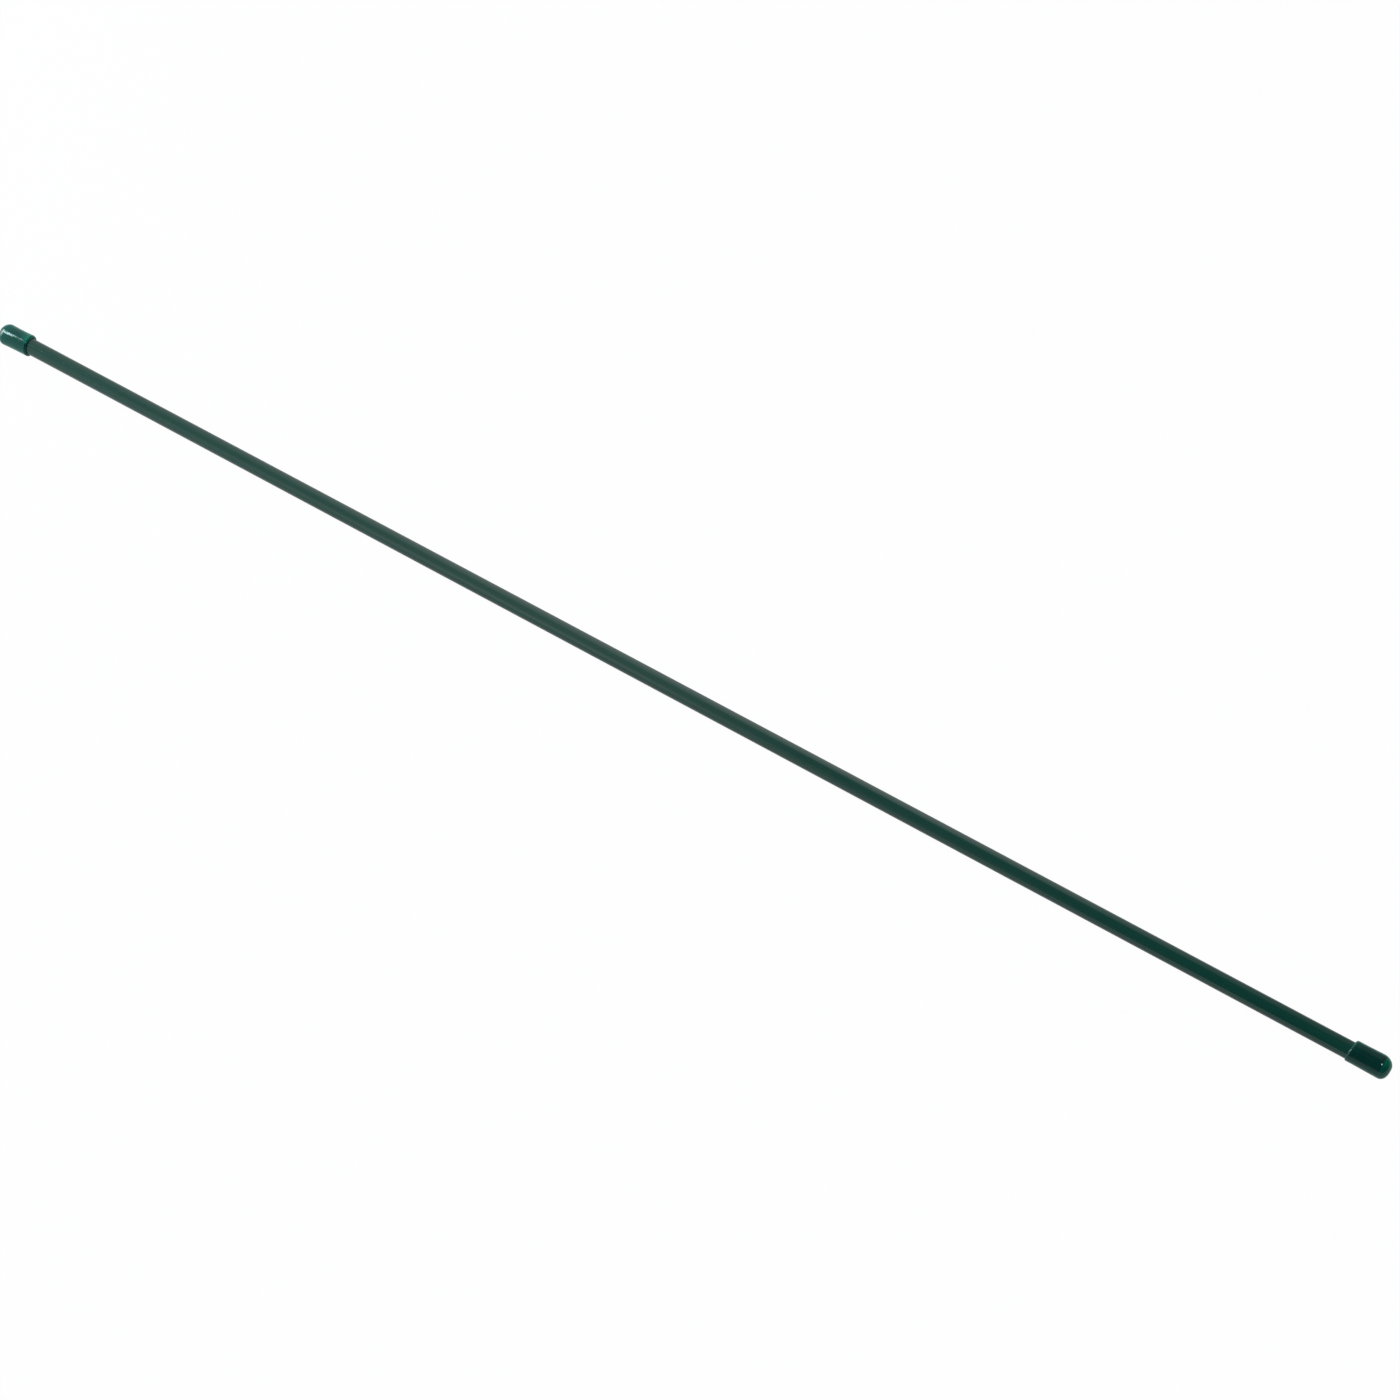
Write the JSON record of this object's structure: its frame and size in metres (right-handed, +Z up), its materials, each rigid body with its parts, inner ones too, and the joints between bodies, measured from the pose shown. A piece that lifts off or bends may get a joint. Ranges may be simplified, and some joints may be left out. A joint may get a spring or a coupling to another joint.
{
  "type": "plant stake",
  "caption": "Straight round garden stake: a thin steel tube in a dark green plastic coat, with a round-ended push-on vinyl cap over each end.",
  "frame": {"origin": "on the ground, below the middle of the stake as it lies on its two caps", "axes": "+X along the stake towards its foot cap, +Z up"},
  "size_m": [0.75, 0.0104, 0.0104],
  "materials": {
    "galvanised_steel": "bright zinc on rolled strip, bare at the cut ends",
    "green_coat": "extruded satin plastic with faint lines along the stake",
    "green_vinyl": "glossy, slightly see-through dipped vinyl"
  },
  "bodies": {
    "tube": {"steel_tube": "galvanised_steel", "plastic_coat": "green_coat"},
    "top_cap": {"top_cap": "green_vinyl"},
    "foot_cap": {"foot_cap": "green_vinyl"}
  },
  "joints": [
    {"name": "top_cap_pull", "type": "slide", "parent": "tube", "child": "top_cap", "axis": [-1, 0, 0], "range_m": [0, 0.03]},
    {"name": "foot_cap_pull", "type": "slide", "parent": "tube", "child": "foot_cap", "axis": [1, 0, 0], "range_m": [0, 0.03]}
  ]
}
